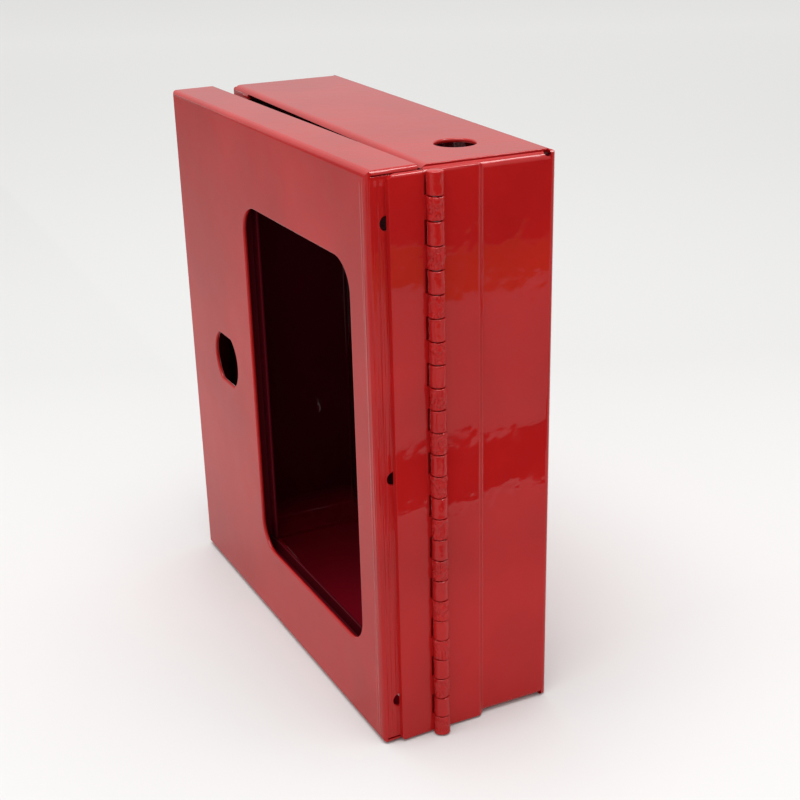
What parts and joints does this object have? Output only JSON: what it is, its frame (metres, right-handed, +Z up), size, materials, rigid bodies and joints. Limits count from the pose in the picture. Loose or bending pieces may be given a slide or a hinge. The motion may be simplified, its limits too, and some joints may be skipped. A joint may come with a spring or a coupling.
{
  "type": "emergency key cabinet",
  "caption": "Small folded-steel wall cabinet with a windowed tray door on a continuous side hinge, a cam-lock hole, and a key hook inside.",
  "frame": {"origin": "middle of the back face, which lies flat on the wall", "axes": "+X to the hinge side, +Y into the wall, +Z up; the door faces -Y"},
  "size_m": [0.1483, 0.06, 0.1656],
  "materials": {
    "red_enamel": "glossy red baked enamel, slightly wavy",
    "bright_steel": "bright zinc-plated steel",
    "rivet_aluminium": "satin"
  },
  "bodies": {
    "cabinet": {"body_shell": "red_enamel", "hinge_leaf_body": "red_enamel", "hinge_pin": "bright_steel", "key_hook": "bright_steel", "hook_rivet_upper": "rivet_aluminium", "hook_rivet_lower": "rivet_aluminium"},
    "door": {"door_shell": "red_enamel", "hinge_leaf_door": "red_enamel", "glass_rail_top": "red_enamel", "glass_rail_bottom": "red_enamel", "glass_stop": "red_enamel"}
  },
  "joints": [
    {"name": "door_hinge", "type": "hinge", "parent": "cabinet", "child": "door", "pos_m": [0.07435, -0.0365, 0], "axis": [0, 0, 1], "range_deg": [-2.4, 177.6]}
  ]
}
